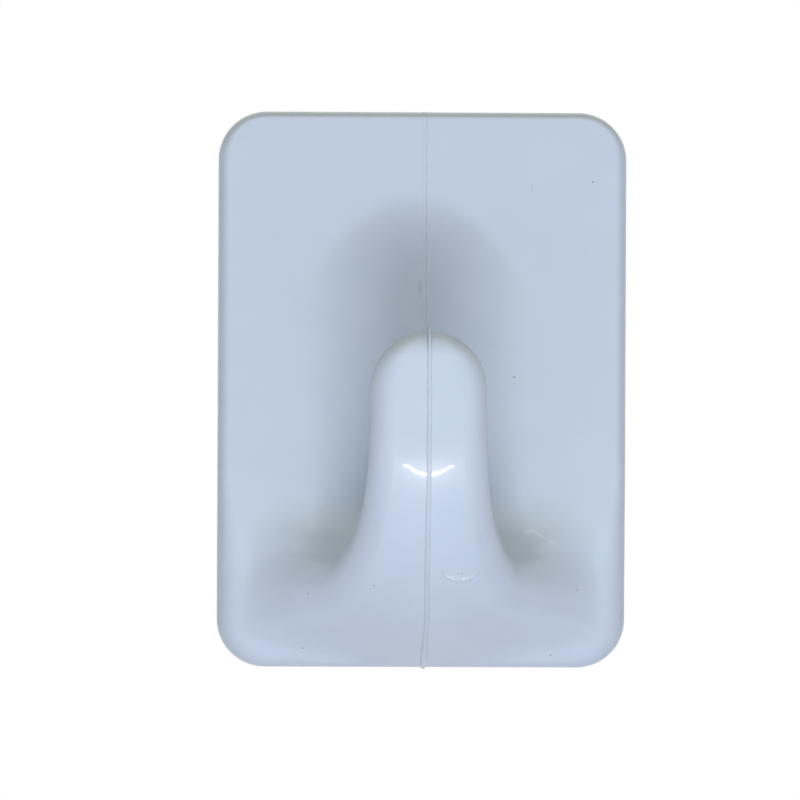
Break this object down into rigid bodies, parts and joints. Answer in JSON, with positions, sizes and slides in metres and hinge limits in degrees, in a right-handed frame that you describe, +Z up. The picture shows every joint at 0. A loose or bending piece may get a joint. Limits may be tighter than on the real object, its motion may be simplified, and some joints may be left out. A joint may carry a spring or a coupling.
{
  "type": "adhesive clothes hook",
  "caption": "Upright rounded plate whose foot flares forward into a broad upturned prong for hanging clothes, with a foam adhesive pad behind.",
  "frame": {"origin": "centre of the foam pad's wall face, level with the middle of the plate", "axes": "+Z up along the plate's height, +Y into the wall, -Y the way the prong reaches, +X to the viewer's right when facing the hook"},
  "size_m": [0.0442, 0.0281, 0.06],
  "materials": {
    "moulded_plastic": "glossy, cool white",
    "foam_tape": "matt closed-cell foam with a tacky face"
  },
  "bodies": {
    "root": {"hook_body": "moulded_plastic", "adhesive_pad": "foam_tape"}
  },
  "joints": []
}
